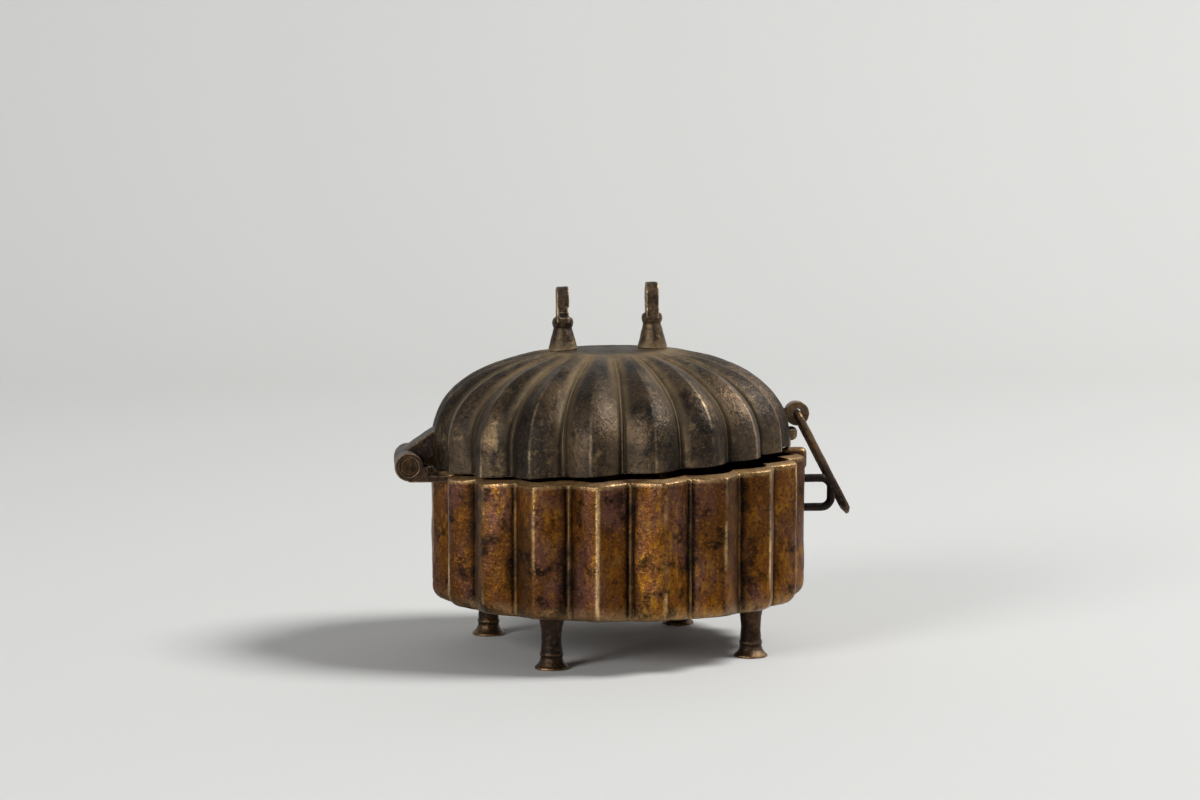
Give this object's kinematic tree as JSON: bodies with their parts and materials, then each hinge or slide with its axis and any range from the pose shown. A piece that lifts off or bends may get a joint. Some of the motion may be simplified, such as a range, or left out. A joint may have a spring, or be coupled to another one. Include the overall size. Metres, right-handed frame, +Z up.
{
  "type": "lobed bronze casket",
  "caption": "Round lobed cast bronze casket on turned feet, with a hinged domed lid, handle posts, a swinging hasp and a staple.",
  "frame": {"origin": "on the body's upright axis, on the surface that the feet stand on", "axes": "+X to the hasp, -X to the hinge, -Y to the front, +Z up"},
  "size_m": [0.1941, 0.1576, 0.1553],
  "materials": {
    "body_bronze": "worn, warm brown patina",
    "lid_bronze": "worn, grey-brown patina",
    "fittings_bronze": "dark, worn patina"
  },
  "bodies": {
    "body": {"body_shell": "body_bronze", "foot_front_left": "body_bronze", "foot_front_right": "body_bronze", "foot_rear_left": "body_bronze", "foot_rear_right": "body_bronze", "hinge_knuckle_front": "fittings_bronze", "hinge_knuckle_rear": "fittings_bronze", "hinge_pin": "fittings_bronze", "staple": "fittings_bronze"},
    "lid": {"lid_shell": "lid_bronze", "lid_hinge_arm": "fittings_bronze", "handle_post_left": "lid_bronze", "handle_post_right": "lid_bronze", "hasp_eye": "fittings_bronze"},
    "hasp": {"hasp_link": "fittings_bronze"}
  },
  "joints": [
    {"name": "lid_hinge", "type": "hinge", "parent": "body", "child": "lid", "pos_m": [-0.0885, 0, 0.0794], "axis": [0, -1, 0], "range_deg": [0, 105]},
    {"name": "hasp_swing", "type": "hinge", "parent": "lid", "child": "hasp", "pos_m": [0.07644, 0, 0.09891], "axis": [0, -1, 0], "range_deg": [-16, 165]}
  ]
}
